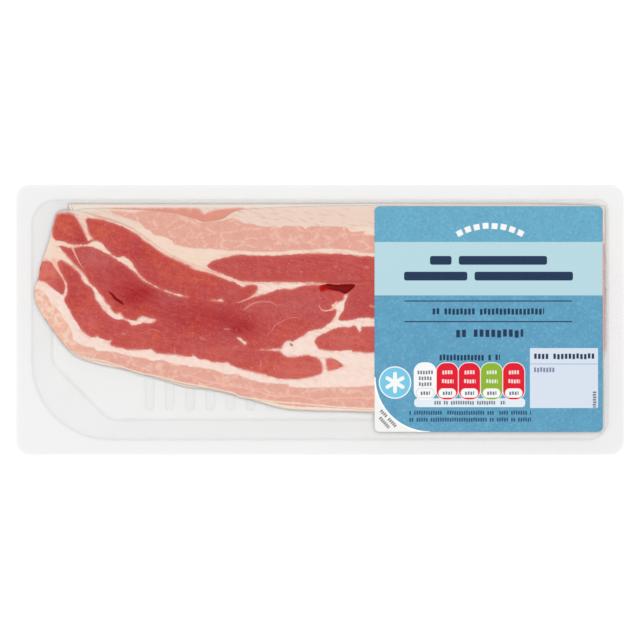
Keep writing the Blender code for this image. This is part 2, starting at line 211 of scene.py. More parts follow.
# Bands of firm fat under the rind, and the pale rind fat behind them.
RIND_FAT: tuple[tuple[Point, ...], ...] = (
    (
        (-125.3, 13.9), (-122.4, 11.9), (-120.4, 10.1), (-119.3, 7.0), (-117.2, 5.6),
        (-115.2, 3.2), (-113.8, 0.3), (-111.8, -1.9), (-110.1, -5.5), (-109.4, -8.6),
        (-107.7, -10.1), (-103.6, -11.9), (-100.8, -12.1), (-99.0, -13.6), (-95.0, -13.9),
        (-91.2, -14.4), (-84.6, -16.0), (-77.3, -17.1), (-74.6, -18.0), (-70.7, -17.7),
        (-67.2, -18.8), (-64.4, -20.0), (-59.1, -20.0), (-57.3, -20.9), (-52.8, -21.2),
        (-46.8, -22.2), (-42.2, -24.0), (-36.9, -24.0), (-33.7, -25.4), (-26.6, -27.7),
        (-15.1, -28.5), (-12.9, -29.7), (-7.5, -30.0), (17.3, -29.7), (24.0, -29.1),
        (71.0, -28.5), (130.0, -23.2), (130.0, -46.0), (-115.4, -46.0), (-134.0, -0.1),
        (-130.0, 12.0),
    ),
    (
        (-93.2, 48.5), (-88.8, 48.0), (-83.0, 47.8), (-75.9, 48.5), (-70.2, 48.8), (-67.2, 48.0),
        (-58.6, 46.2), (-55.5, 45.1), (-54.3, 43.6), (-51.5, 43.4), (-46.8, 43.6), (-42.6, 44.3),
        (-39.3, 45.3), (-36.0, 44.3), (-33.7, 43.0), (-29.5, 42.5), (-25.8, 41.5), (-19.5, 41.6),
        (-17.8, 40.7), (-16.0, 41.6), (-8.4, 41.6), (-6.2, 40.4), (-4.0, 41.6), (10.2, 41.3),
        (12.4, 40.4), (14.4, 38.9), (20.4, 39.6), (23.5, 37.6), (71.0, 39.8), (130.0, 38.5),
        (130.0, 35.4), (71.0, 30.1), (23.5, 29.4), (14.7, 30.6), (3.1, 31.6), (-2.7, 30.9),
        (-8.4, 30.9), (-14.2, 30.6), (-17.8, 30.1), (-29.5, 30.1), (-35.3, 30.6), (-41.1, 30.6),
        (-48.0, 31.5), (-52.8, 31.5), (-57.3, 31.8), (-64.4, 33.2), (-65.5, 34.7), (-67.2, 35.8),
        (-70.2, 37.0), (-73.7, 37.6), (-75.5, 39.4), (-77.7, 40.4), (-80.8, 43.4), (-90.4, 46.5),
    ),
)
# Small pale flecks in the lean, and a few brown or crimson spots.
FLECKS: tuple[tuple[Rib, ...], ...] = (
    ((-34.6, 3.9, 0.1), (-32.4, 5.5, 0.5), (-30.2, 7.0, 0.45), (-27.1, 7.9, 0.4),
     (-22.2, 7.9, 0.35), (-19.0, 6.4, 0.3), (-16.9, 6.9, 0.1)),
    ((-88.0, -6.2, 0.35), (-86.6, -6.1, 0.4)),
    ((-56.5, -6.0, 0.35), (-55.9, -5.9, 0.3)),
    ((-53.7, -7.3, 0.2), (-52.0, -8.4, 0.35), (-50.6, -9.0, 0.2)),
    ((-42.5, -4.2, 0.35), (-40.0, -4.1, 0.3)),
    ((-39.0, -13.4, 0.25), (-37.4, -12.2, 0.3), (-36.0, -11.5, 0.2)),
    ((-26.6, -18.2, 0.3), (-26.0, -19.6, 0.35), (-26.8, -20.8, 0.25)),
    ((-8.6, 21.4, 0.4), (-7.8, 21.2, 0.3)),
    ((6.9, 23.7, 0.3), (7.4, 23.6, 0.3)),
    ((20.4, 23.4, 0.45), (21.7, 23.2, 0.4)),
    ((1.6, 21.9, 0.3), (2.1, 21.9, 0.3)),
    ((22.4, 6.2, 0.7), (24.4, 5.6, 0.6)),
    ((11.2, -5.4, 0.4), (11.5, -5.6, 0.3)),
    ((-48.3, 8.6, 0.25), (-46.5, 9.1, 0.25)),
    ((-64.8, -12.2, 0.2), (-64.2, -14.8, 0.4)),
)
SPOTS: tuple[tuple[Rib, ...], ...] = (
    ((-13.2, -10.7, 0.5), (-12.4, -11.4, 0.6)),
    ((-33.0, -7.6, 0.4), (-32.5, -8.2, 0.3)),
    ((-52.6, 48.4, 0.4), (-52.2, 48.4, 0.3)),
    ((-28.2, 11.8, 0.2), (-27.4, 11.6, 0.3)),
)
RUDDY_STRIP: tuple[Point, ...] = (
    (-97.0, 50.1), (-75.0, 50.6), (-55.5, 50.4), (-51.9, 47.2), (-48.4, 48.6), (-40.4, 49.9),
    (-33.5, 50.1), (-33.5, 44.0), (-44.0, 42.3), (-60.0, 42.0), (-90.0, 45.5), (-97.0, 48.0),
)


# ------------------------------------------------------------------ curves and distances


def smooth_chain(points: Sequence[Sequence[float]], closed: bool = False, steps: int = 5) -> Array:
    """A Catmull-Rom chain through control points of any width.

    Args:
        points: control points, two or three numbers each.
        closed: whether the chain returns to its first point.
        steps: pieces between two control points.

    Returns:
        The fine points, one a row; a closed chain ends with its first point.
    """
    given = np.asarray(points, float)
    if closed:
        padded = np.vstack([given[-1], given, given[0], given[1]])
    else:
        padded = np.vstack([given[0], given, given[-1]])
    before, start, end, after = padded[:-3], padded[1:-2], padded[2:-1], padded[3:]
    t = (np.arange(steps) / steps)[None, :, None]
    bend = (2 * before - 5 * start + 4 * end - after)[:, None]
    twist = (3 * start - before - 3 * end + after)[:, None]
    fine = start[:, None] + 0.5 * ((end - before)[:, None] * t + bend * t**2 + twist * t**3)
    return np.vstack([fine.reshape(-1, given.shape[1]), padded[-2]])


def height_along(chain: Array, x: Array) -> Array:
    """The chain's second coordinate at each x; its first must not turn back."""
    rising = np.maximum.accumulate(chain[:, 0] + 1e-6 * np.arange(len(chain)))
    return np.interp(x, rising, chain[:, 1])


def ease(value: Array, low: float, high: float) -> Array:
    """0 below low, 1 above high, and smooth between them."""
    t = np.clip((value - low) / (high - low), 0.0, 1.0)
    return t * t * (3 - 2 * t)


class Chart:
    """A plan of the slice: how far each spot lies inside lean, fat, seams and splits."""

    STEP = 0.4
    REACH = 5.0

    def __init__(self, half_length: float, half_width: float) -> None:
        """Lays out the empty plan.

        Args:
            half_length: how far the plan runs along x from the middle.
            half_width: how far it runs along y.
        """
        self.origin = np.array([-half_length, -half_width])
        self.x, self.y = np.meshgrid(
            np.arange(-half_length, half_length, self.STEP),
            np.arange(-half_width, half_width, self.STEP),
            indexing="ij",
        )
        self.layers: dict[str, Array] = {}

    def _near(self, chain: Array) -> tuple[slice, slice]:
        """The part of the plan within reach of a chain."""
        low = np.floor((chain[:, :2].min(0) - self.REACH - self.origin) / self.STEP).astype(int)
        high = np.ceil((chain[:, :2].max(0) + self.REACH - self.origin) / self.STEP).astype(int)
        low = np.maximum(low, 0)
        return slice(low[0], high[0] + 1), slice(low[1], high[1] + 1)

    def inside(self, outline: Sequence[Point], steps: int = 4) -> Array:
        """Signed distance into a closed outline.

        Args:
            outline: control points of the outline.
            steps: how finely its curve is followed.

        Returns:
            Millimetres inside the outline, negative outside it.
        """
        chain = smooth_chain(outline, closed=True, steps=steps)
        part = self._near(chain)
        x, y = self.x[part], self.y[part]
        nearest = np.full(x.shape, self.REACH**2)
        within = np.zeros(x.shape, bool)
        for (ax, ay), (bx, by) in zip(chain, chain[1:]):
            along = (bx - ax, by - ay)
            length = along[0] ** 2 + along[1] ** 2 + 1e-12
            t = np.clip(((x - ax) * along[0] + (y - ay) * along[1]) / length, 0.0, 1.0)
            away = (x - ax - t * along[0]) ** 2 + (y - ay - t * along[1]) ** 2
            nearest = np.minimum(nearest, away)
            if ay != by:
                crossed = (ay > y) != (by > y)
                within ^= crossed & (x < ax + (y - ay) * along[0] / along[1])
        found = np.full(self.x.shape, -self.REACH)
        found[part] = np.sqrt(nearest) * np.where(within, 1.0, -1.0)
        return found

    def lines(self, lines: Sequence[Sequence[Rib]]) -> tuple[Array, Array]:
        """Side and half width of the nearest of several open lines.

        Args:
            lines: control points of each line as (x, y, half width).

        Returns:
            Signed distance to the nearest line, and its half width there, which falls away from
            the line so that two lines never meet in a false one between them.
        """
        excess = np.full(self.x.shape, self.REACH)
        side = np.full(self.x.shape, 2.0)
        half = np.full(self.x.shape, -2.0)
        for line in lines:
            chain = smooth_chain(line, steps=5)
            part = self._near(chain)
            x, y = self.x[part], self.y[part]
            for (ax, ay, aw), (bx, by, bw) in zip(chain, chain[1:]):
                along = (bx - ax, by - ay)
                length = along[0] ** 2 + along[1] ** 2 + 1e-12
                t = np.clip(((x - ax) * along[0] + (y - ay) * along[1]) / length, 0.0, 1.0)
                away = np.hypot(x - ax - t * along[0], y - ay - t * along[1])
                width = aw + (bw - aw) * t
                closer = away - width < excess[part]
                turn = np.sign(along[0] * (y - ay) - along[1] * (x - ax) + 1e-9)
                excess[part] = np.where(closer, away - width, excess[part])
                side[part] = np.where(closer, np.clip(away, 0, 2) * turn, side[part])
                faded = width - np.maximum(0.0, away - 0.9) * 0.9
                half[part] = np.where(closer, np.maximum(faded, -2.0), half[part])
        return side, half

    def sample(self, name: str, x: Array, y: Array) -> Array:
        """A layer's value at each spot, read between the plan's points."""
        layer = self.layers[name]
        u = np.clip((x - self.origin[0]) / self.STEP, 0, layer.shape[0] - 1.001)
        v = np.clip((y - self.origin[1]) / self.STEP, 0, layer.shape[1] - 1.001)
        i, j = u.astype(int), v.astype(int)
        s, t = u - i, v - j
        low = layer[i, j] * (1 - s) + layer[i + 1, j] * s
        high = layer[i, j + 1] * (1 - s) + layer[i + 1, j + 1] * s
        return low * (1 - t) + high * t


@dataclass(frozen=True)
class Tint:
    """A soft patch where the lean runs warmer or cooler, and deeper or paler."""

    x: float
    y: float
    reach_x: float
    reach_y: float
    warm: float
    deep: float


TINTS: tuple[Tint, ...] = (
    Tint(-113.0, 41.0, 6.0, 5.0, 1.0, -0.1),
    Tint(-105.5, 37.5, 3.0, 5.0, 0.0, 0.55),
    Tint(-96.0, 40.0, 7.0, 4.0, 0.7, -0.1),
    Tint(-80.0, 30.0, 8.0, 5.0, 0.3, 0.3),
    Tint(-60.0, 18.0, 12.0, 6.0, 0.55, 0.0),
    Tint(-103.0, 27.5, 8.0, 4.0, -0.9, -0.1),
    Tint(-90.0, 19.0, 8.0, 4.0, -0.4, 0.35),
    Tint(-81.0, 11.0, 8.0, 5.0, 0.0, 0.95),
    Tint(-69.0, 10.0, 5.0, 2.5, -1.0, 0.0),
    Tint(-97.0, 2.0, 8.0, 6.0, 0.35, 0.0),
    Tint(-103.0, -2.0, 5.0, 5.0, 0.0, -0.4),
    Tint(-80.0, -9.0, 9.0, 4.0, 0.15, -0.25),
    Tint(-110.0, 15.0, 4.0, 8.0, 0.2, 0.2),
    Tint(-62.0, 2.0, 8.0, 6.0, -0.1, 0.5),
    Tint(-45.0, 1.0, 8.0, 6.0, -0.1, 0.6),
    Tint(-34.0, -3.0, 6.0, 4.0, -0.1, 0.75),
    Tint(-13.0, 7.0, 12.0, 5.0, -0.7, -0.05),
    Tint(-14.0, -5.0, 7.0, 5.0, 0.3, -0.1),
    Tint(-10.0, -22.0, 14.0, 4.0, 0.1, -0.7),
    Tint(-48.0, -15.0, 12.0, 3.0, 0.1, -0.3),
    Tint(-122.5, 21.5, 4.5, 4.5, 0.7, -2.0),
    Tint(12.0, -9.0, 12.0, 4.0, 0.1, -0.55),
    Tint(6.0, -20.0, 4.0, 3.0, 0.0, -1.0),
    Tint(-20.0, 23.0, 25.0, 5.0, -0.1, 0.0),
    Tint(20.0, 8.0, 6.0, 6.0, -0.1, 0.2),
)


def plan_of_slice() -> Chart:
    """The plan that every rasher takes its lean and fat from.

    Returns:
        The chart with its layers of distances and tints filled in.
    """
    chart = Chart(136.0, 61.0)
    lean = np.max([chart.inside(outline, 3) for outline in MUSCLES.values()], axis=0)
    for seam in FAT_SEAMS:
        lean = np.minimum(lean, -chart.inside(seam, 3))
    firm = np.max([chart.inside(outline, 3) for outline in RIND_FAT], axis=0)
    side, half = chart.lines(THIN_SEAMS)
    split_side, split_half = chart.lines([SPLIT])
    fleck_side, fleck_half = chart.lines(FLECKS)
    spot_side, spot_half = chart.lines(SPOTS)
    opening = np.maximum(chart.inside(GAP, 4), split_half - np.abs(split_side))
    warm = np.zeros_like(lean)
    deep = np.zeros_like(lean)
    for tint in TINTS:
        away = ((chart.x - tint.x) / tint.reach_x) ** 2 + ((chart.y - tint.y) / tint.reach_y) ** 2
        share = np.exp(-0.7 * away)
        warm += tint.warm * share
        deep += tint.deep * share
    chart.layers = {
        "lean": lean,
        "firm": firm,
        "seam": side,
        "seam_half": half,
        "opening": opening,
        "warm": warm,
        "deep": deep,
        "ruddy": chart.inside(RUDDY_STRIP, 3),
        "fleck": fleck_half - np.abs(fleck_side),
        "spot": spot_half - np.abs(spot_side),
    }
    return chart


# ------------------------------------------------------------------ meshes


def graded(start: float, end: float, step: float, dense_start: float, dense_end: float) -> Array:
    """Column places along x, crowded towards both ends.

    Args:
        start: first place.
        end: last place.
        step: spacing away from the ends.
        dense_start: length at the start over which the spacing grows from nothing.
        dense_end: the same at the end.

    Returns:
        The places in rising order.
    """
    count_in = max(2, round(2 * dense_start / step))
    count_out = max(2, round(2 * dense_end / step))
    first = start + dense_start * (np.arange(count_in) / count_in) ** 2
    last = end - dense_end * (np.arange(count_out) / count_out) ** 2
    middle_count = max(2, round((end - start - dense_start - dense_end) / step))
    middle = np.linspace(start + dense_start, end - dense_end, middle_count + 1)
    return np.concatenate([first, middle, last[::-1]])


@dataclass
class Slab:
    """A thin closed piece between a front and a rear edge, meshed in columns along x."""

    name: str
    x: Array
    front: Array
    rear: Array
    low: float
    high: float
    rows: int
    rounding: tuple[float, ...] = (0.0, 0.04, 0.15, 0.35, 0.75)
    top_shape: Callable[[Array, Array, Array], Array] | None = None
    bottom_shape: Callable[[Array, Array, Array], Array] | None = None

    def spots(self) -> tuple[Array, Array, Array]:
        """Where the columns' points lie, and how far each is from the outline.

        Returns:
            x, y and distance to the edge, each of (columns, rows).
        """
        width = np.maximum(self.rear - self.front, 0.02)
        edge = np.array(self.rounding)
        scale = np.minimum(1.0, width / (4 * edge[-1]))
        near = edge[None, :] * scale[:, None]
        inner = np.linspace(0.0, 1.0, self.rows)[None, 1:-1]
        inset = near[:, -1:]
        middle = inset + (width[:, None] - 2 * inset) * inner
        offset = np.hstack([near, middle, width[:, None] - near[:, ::-1]])
        x = np.repeat(self.x[:, None], offset.shape[1], axis=1)
        y = self.front[:, None] + offset
        away = np.minimum(offset, width[:, None] - offset)
        ends = np.minimum(self.x - self.x[0], self.x[-1] - self.x)
        return x, y, np.minimum(away, ends[:, None])

    def build(self) -> tuple[bpy.types.Object, Array, Array, Array]:
        """Makes the object.

        Returns:
            The object, then the x, y and edge distance of each of its vertices.
        """
        x, y, away = self.spots()
        half = (self.high - self.low) / 2
        reach = self.rounding[-1]
        t = np.clip(away / reach, 0.0, 1.0)
        bulge = half * np.sqrt(np.maximum(0.0, 1 - (1 - t) ** 2))
        middle = (self.high + self.low) / 2
        top, bottom = middle + bulge, middle - bulge
        if self.top_shape:
            top = top + self.top_shape(x, y, away) * t
        if self.bottom_shape:
            bottom = bottom + self.bottom_shape(x, y, away) * t
        columns, rows = x.shape
        upper = np.arange(columns * rows).reshape(columns, rows)
        lower = upper.copy()
        inner = lower[1:-1, 1:-1]
        inner[:] = upper.size + np.arange(inner.size).reshape(inner.shape)
        core = (slice(1, -1), slice(1, -1))
        xs = np.concatenate([x.ravel(), x[core].ravel()])
        ys = np.concatenate([y.ravel(), y[core].ravel()])
        zs = np.concatenate([top.ravel(), bottom[core].ravel()])
        far = np.concatenate([away.ravel(), away[core].ravel()])
        faces = [self._faces(upper), self._faces(lower)[:, ::-1]]
        made = mesh_object(self.name, np.stack([xs, ys, zs], 1) * MM, np.vstack(faces))
        return made, xs, ys, far

    @staticmethod
    def _faces(index: Array) -> Array:
        """The quads of a grid of vertex numbers."""
        return np.stack(
            [index[:-1, :-1], index[1:, :-1], index[1:, 1:], index[:-1, 1:]], axis=-1
        ).reshape(-1, 4)


def mesh_object(name: str, places: Array, quads: Array) -> bpy.types.Object:
    """A smooth-shaded object from vertex places in metres and four-sided faces.

    Args:
        name: the object's name.
        places: one vertex a row.
        quads: four vertex numbers a row.

    Returns:
        The linked object.
    """
    mesh = bpy.data.meshes.new(name)
    mesh.vertices.add(len(places))
    mesh.vertices.foreach_set("co", places.astype(np.float32).ravel())
    mesh.loops.add(quads.size)
    mesh.loops.foreach_set("vertex_index", quads.astype(np.int32).ravel())
    mesh.polygons.add(len(quads))
    mesh.polygons.foreach_set("loop_start", np.arange(0, quads.size, 4, dtype=np.int32))
    mesh.update(calc_edges=True)
    mesh.validate()
    mesh.shade_smooth()
    made = bpy.data.objects.new(name, mesh)
    bpy.context.scene.collection.objects.link(made)
    return made


def carry(piece: bpy.types.Object, values: dict[str, Array]) -> None:
    """Stores one number a vertex under each name, for the finish to read."""
    for name, numbers in values.items():
        layer = piece.data.attributes.new(name, "FLOAT", "POINT")
        layer.data.foreach_set("value", numbers.astype(np.float32))


# ------------------------------------------------------------------ shader bench

Number = Union[float, "Wire"]


def linear(colour: str) -> tuple[float, float, float, float]:
    """A six-figure hex colour as linear red, green, blue and alpha."""
    shares = [int(colour[place : place + 2], 16) / 255 for place in (0, 2, 4)]
    bent = [s / 12.92 if s <= 0.04045 else ((s + 0.055) / 1.055) ** 2.4 for s in shares]
    return (*bent, 1.0)


class Wire:
    """A number socket that adds Math nodes as it is used in arithmetic."""

    def __init__(self, bench: "Bench", socket: bpy.types.NodeSocket) -> None:
        """Wraps a socket of the bench's tree."""
        self.bench = bench
        self.socket = socket

    def _maths(self, operation: str, *values: Number, **settings: Any) -> "Wire":
        """A Math node on these values."""
        return self.bench.node("ShaderNodeMath", {"operation": operation, **settings}, values)

    def __add__(self, other: Number) -> "Wire":
        """self + other."""
        return self._maths("ADD", self, other)

    def __sub__(self, other: Number) -> "Wire":
        """self - other."""
        return self._maths("SUBTRACT", self, other)

    def __rsub__(self, other: Number) -> "Wire":
        """other - self."""
        return self._maths("SUBTRACT", other, self)

    def __mul__(self, other: Number) -> "Wire":
        """self * other."""
        return self._maths("MULTIPLY", self, other)

    def __truediv__(self, other: Number) -> "Wire":
        """self / other."""
        return self._maths("DIVIDE", self, other)

    def __pow__(self, other: Number) -> "Wire":
        """self to the power of other."""
        return self._maths("POWER", self, other)

    def __abs__(self) -> "Wire":
        """The size of self."""
        return self._maths("ABSOLUTE", self)

    def __neg__(self) -> "Wire":
        """Minus self."""
        return self._maths("MULTIPLY", self, -1.0)

    __radd__ = __add__
    __rmul__ = __mul__

    def least(self, other: Number) -> "Wire":
        """The lesser of the two."""
        return self._maths("MINIMUM", self, other)

    def most(self, other: Number) -> "Wire":
        """The greater of the two."""
        return self._maths("MAXIMUM", self, other)

    def over(self, other: Number) -> "Wire":
        """1 where self is greater than other."""
        return self._maths("GREATER_THAN", self, other)

    def floor(self) -> "Wire":
        """The whole number below."""
        return self._maths("FLOOR", self)

    def fraction(self) -> "Wire":
        """What is left over the whole number below."""
        return self._maths("FRACT", self)

    def sine(self) -> "Wire":
        """The sine of self in radians."""
        return self._maths("SINE", self)

    def clamp(self) -> "Wire":
        """Self kept between 0 and 1."""
        return self._maths("ADD", self, 0.0, use_clamp=True)

    def ramp(self, low: float, high: float) -> "Wire":
        """A smooth step: 0 at low and 1 at high, which may lie below low."""
        settings = {"interpolation_type": "SMOOTHSTEP", "clamp": True}
        if high < low:
            return 1.0 - self.bench.node("ShaderNodeMapRange", settings, (self, high, low))
        return self.bench.node("ShaderNodeMapRange", settings, (self, low, high))


Shade = Union[str, bpy.types.NodeSocket]


class Bench:
    """One material's node tree, with short ways to add to it."""

    def __init__(self, name: str) -> None:
        """Starts a material with only its output node."""
        self.material = bpy.data.materials.new(name)
        self.material.use_nodes = True
        self.tree = self.material.node_tree
        self.tree.nodes.clear()
        self.output = self.tree.nodes.new("ShaderNodeOutputMaterial")

    def node(
        self,
        kind: str,
        settings: dict[str, Any] | None = None,
        inputs: Sequence[Any] | dict[Any, Any] = (),
        output: int | str = 0,
    ) -> Wire:
        """Adds a node.

        Args:
            kind: the node's type.
            settings: its own properties, set before its sockets; "stops" are a ramp's colours.
            inputs: values or links, in order or by socket name or number.
            output: which of its outputs is wanted.

        Returns:
            That output.
        """
        made = self.tree.nodes.new(kind)
        for key, value in (settings or {}).items():
            setattr(made, key, value)
        pairs = inputs.items() if isinstance(inputs, dict) else enumerate(inputs)
        for key, value in pairs:
            self.feed(made.inputs[key], value)
        return Wire(self, made.outputs[output])

    def feed(self, socket: bpy.types.NodeSocket, value: Any) -> None:
        """Links a wire or socket to a socket, or sets a plain value or hex colour on it."""
        if isinstance(value, Wire):
            value = value.socket
        if isinstance(value, bpy.types.NodeSocket):
            self.tree.links.new(value, socket)
        elif isinstance(value, str):
            socket.default_value = linear(value)
        else:
            socket.default_value = value

    def mix(self, share: Number, first: Shade, second: Shade, blend: str = "MIX") -> Any:
        """The colour between first and second at a share from 0 to 1."""
        settings = {"data_type": "RGBA", "blend_type": blend, "clamp_factor": True}
        mixed = self.node("ShaderNodeMix", settings, {0: share, 6: first, 7: second}, 2)
        return mixed.socket

    def place(self) -> tuple[Wire, Wire, Wire]:
        """The spot on the object in millimetres, as x, y and z."""
        spot = self.node("ShaderNodeTexCoord", output="Object")
        parts = self.tree.nodes.new("ShaderNodeSeparateXYZ")
        self.feed(parts.inputs[0], spot)
        return tuple(Wire(self, parts.outputs[axis]) / MM for axis in range(3))

    def vector(self, x: Number, y: Number, z: Number) -> Wire:
        """Three numbers as one vector."""
        return self.node("ShaderNodeCombineXYZ", None, (x, y, z))

    def stored(self, name: str) -> Wire:
        """A number that the mesh carries at each vertex."""
        return self.node("ShaderNodeAttribute", {"attribute_name": name}, output="Fac")

    def noise(self, spot: Wire, scale: float, detail: float = 2.0, rough: float = 0.5) -> Wire:
        """Soft noise from 0 to 1 around 0.5."""
        inputs = {"Vector": spot, "Scale": scale, "Detail": detail, "Roughness": rough}
        return self.node("ShaderNodeTexNoise", None, inputs)

    def cells(self, spot: Wire, scale: float) -> Wire:
        """Distance to the nearest border of a field of uneven cells."""
        inputs = {"Vector": spot, "Scale": scale}
        return self.node("ShaderNodeTexVoronoi", {"feature": "DISTANCE_TO_EDGE"}, inputs)

    def chance(self, spot: Wire) -> Wire:
        """A number from 0 to 1 that jumps from one spot to the next."""
        return self.node("ShaderNodeTexWhiteNoise", {"noise_dimensions": "3D"}, {0: spot})

    def bump(self, height: Wire, strength: float, depth: float) -> Wire:
        """A normal raised by a height field; depth is in millimetres."""
        inputs = {"Strength": strength, "Distance": depth * MM, "Height": height}
        return self.node("ShaderNodeBump", None, inputs)

    def principled(self, inputs: dict[str, Any]) -> Wire:
        """A Principled shader with these sockets."""
        return self.node("ShaderNodeBsdfPrincipled", None, inputs)

    def close(self, shader: Wire) -> bpy.types.Material:
        """Joins a shader to the output and gives back the material."""
        self.feed(self.output.inputs["Surface"], shader)
        return self.material


# ------------------------------------------------------------------ finishes


@dataclass(frozen=True)
class MeatFinish:
    """Cured belly pork: red lean, white seams and salmon fat under the rind."""

    name: str = "streaky_bacon"
    lean: str = "b94644"
    warm_lean: str = "c44f3a"
    cool_lean: str = "b75557"
    deep_lean: str = "9e1620"
    pale_lean: str = "d06c60"
    glow: str = "d87a62"
    fleck: str = "dc9686"
    pore: str = "9c3034"
    fat: str = "f1dcd2"
    dull_fat: str = "e8c8b9"
    upper_fat: str = "ead0bd"
    bright_fat: str = "f5e5d8"
    blush: str = "e0a090"
    firm: str = "db9d8e"
    firm_light: str = "dfa998"
    firm_tip: str = "ecba9e"
    tip_fat: str = "eed6c6"
    septum: str = "edc8b6"
    cream: str = "e2cabb"
    fringe: str = "f0dccb"
    # Painted glare: meat paled as if by light scattered off the plastic above it.
    glare_veiled: str = "dfd6cd"
    seam: str = "ecb5a3"
    ruddy: str = "d38a78"
    # Painted shadow deep in the splits and the gap, and painted light on their lit side.
    hole_shadow: str = "780505"
    hole_lit_side: str = "c01c14"
    spot: str = "8a4d43"

    def make(self) -> bpy.types.Material:
        """Builds the material from what the mesh carries and from noise."""
        bench = Bench(self.name)
        x, y, z = bench.place()
        spot = bench.vector(x, y, z)
        cloud = bench.noise(spot, 0.10, 2.0)
        coarse = bench.noise(spot, 0.36, 3.0, 0.6)
        fine = bench.noise(spot, 1.2, 3.0, 0.6)
        run = bench.vector(x * 0.22, y + x * 0.3, z)
        fibre = bench.noise(run, 0.8, 4.0, 0.62)
        wobble = (coarse - 0.5) * 1.3 + (fine - 0.5) * 0.7
        depth = bench.stored("lean") + wobble
        softness = 0.38 + cloud.ramp(0.42, 0.6) * 0.4
        is_lean = ((depth + 0.22) / softness).ramp(-1.0, 1.0)

        warmth = bench.stored("warm").clamp()
        colour = self._fat(bench, y, depth, coarse, fine, fibre)
        colour = bench.mix(depth.ramp(-2.6, -0.2) * warmth * 0.65, colour, self.blush)
        colour = self._firm(bench, colour, (x, y, z), wobble, coarse, fine)
        colour = bench.mix(is_lean, colour, self._lean(bench, depth, cloud, coarse, fine, fibre))
        half = bench.stored("seam_half") + (fine - 0.5) * 0.4 - (coarse - 0.5) * 0.5
        is_seam = (half - abs(bench.stored("seam") + (coarse - 0.5) * 0.6)).ramp(-0.2, 0.45)
        colour = bench.mix(is_seam * 0.85, colour, self.seam)
        colour = bench.mix(bench.stored("fleck").ramp(-0.3, 0.35) * 0.55, colour, self.fleck)
        colour = bench.mix(bench.stored("spot").ramp(-0.2, 0.3) * 0.8, colour, self.spot)
        # Painted shade in the splits and the gap: a dark shadow colour deep in, and a lit red colour
        # on the side where light is painted in.
        opening = bench.stored("opening") + (fine - 0.5) * 0.3
        lit = x.ramp(-9.0, -6.0) * (x + (y - 12.0) * 1.5 + coarse * 3.0).ramp(10.5, 6.5)
        inside = bench.mix(lit * opening.ramp(1.5, 0.3), self.hole_shadow, self.hole_lit_side)
        colour = bench.mix(opening.ramp(-0.25, 0.12), colour, inside)
        # Cream fringe along each rasher's rim; at the very rim, mostly on the lower rashers, it is
        # paled by painted glare.
        fringe = bench.stored("fringe") + (coarse - 0.5) * 0.8
        glare_veiled = bench.mix(fringe.ramp(0.9, 1.6) * 0.7, self.fringe, self.glare_veiled)
        colour = bench.mix(fringe.ramp(-0.2, 0.5) * 0.85, colour, glare_veiled)
        # Painted glare over the rear edge under the tray wall, and over the right end beside the
        # label.
        far = (y + coarse * 2.0 + x.ramp(-94.0, -108.0) * 2.4).ramp(49.4, 52.2)
        colour = bench.mix(far * 0.75, colour, self.glare_veiled)
        colour = bench.mix(x.ramp(124.2, 125.8) * 0.55, colour, self.glare_veiled)
        height = fibre * 0.5 + fine * 0.4 + is_lean * -0.5
        return bench.close(
            bench.principled(
                {
                    "Base Color": colour,
                    "Roughness": 0.62 - is_lean * 0.08 + (fine - 0.5) * 0.15,
                    "Specular IOR Level": 0.03,
                    "Normal": bench.bump(height, 0.35, 0.3),
                }
            )
        )

    def _fat(self, bench: Bench, y: Wire, depth: Wire, coarse: Wire, fine: Wire, fibre: Wire) -> Any:
        """Soft white fat, pinker beside the lean and creamier by the rear rind."""
        colour = bench.mix((coarse * 1.6 + fine * 0.8 - 0.85).clamp(), self.fat, self.dull_fat)
        colour = bench.mix(fine.ramp(0.52, 0.68) * 0.5, colour, self.bright_fat)
        colour = bench.mix(y.ramp(8.0, 28.0) * 0.8, colour, self.upper_fat)
        rear = (y + coarse * 6).ramp(42.0, 46.0)
        colour = bench.mix(rear * 0.8, colour, self.cream)
        colour = bench.mix(fibre.ramp(0.52, 0.68) * (0.2 + rear * 0.5), colour, "dba895")
        wisps = fibre.ramp(0.48, 0.6) * depth.ramp(-2.6, -0.3) * 0.35
        colour = bench.mix(wisps, colour, self.blush)
        return bench.mix(depth.ramp(-0.9, 0.1) * 0.25, colour, self.blush)

    def _firm(
        self,
        bench: Bench,
        under: Any,
        spot: tuple[Wire, Wire, Wire],
        wobble: Wire,
        coarse: Wire,
        fine: Wire,
    ) -> Any:
        """Salmon fat under the rind, in uneven cells."""
        x, y, z = spot
        tone = coarse * 0.8 + fine * 0.5 - 0.15
        shade = bench.mix(tone.ramp(0.3, 0.7), self.firm, self.firm_light)
        tip = bench.mix(fine.ramp(0.4, 0.62), self.firm_tip, self.firm_light)
        tip = bench.mix(coarse.ramp(0.45, 0.62) * 0.8, tip, self.tip_fat)
        shade = bench.mix(x.ramp(-92.0, -118.0) * 0.9, shade, tip)
        bent = bench.vector(x * 0.5 + fine * 1.6, y + coarse * 3.0, z)
        septa = bench.cells(bent, 0.2).ramp(0.09, 0.01) * (coarse.ramp(0.4, 0.6) * 0.45 + 0.08)
        shade = bench.mix(septa, shade, self.septum)
        shade = bench.mix(fine.ramp(0.56, 0.72) * 0.25, shade, self.septum)
        ruddy = bench.stored("ruddy") + wobble
        shade = bench.mix(ruddy.ramp(-0.5, 1.1) * (1.2 - coarse * 0.8), shade, self.ruddy)
        inside = (bench.stored("firm") + wobble).ramp(-0.35, 0.45).most(ruddy.ramp(-0.6, 1.0))
        return bench.mix(inside, under, shade)

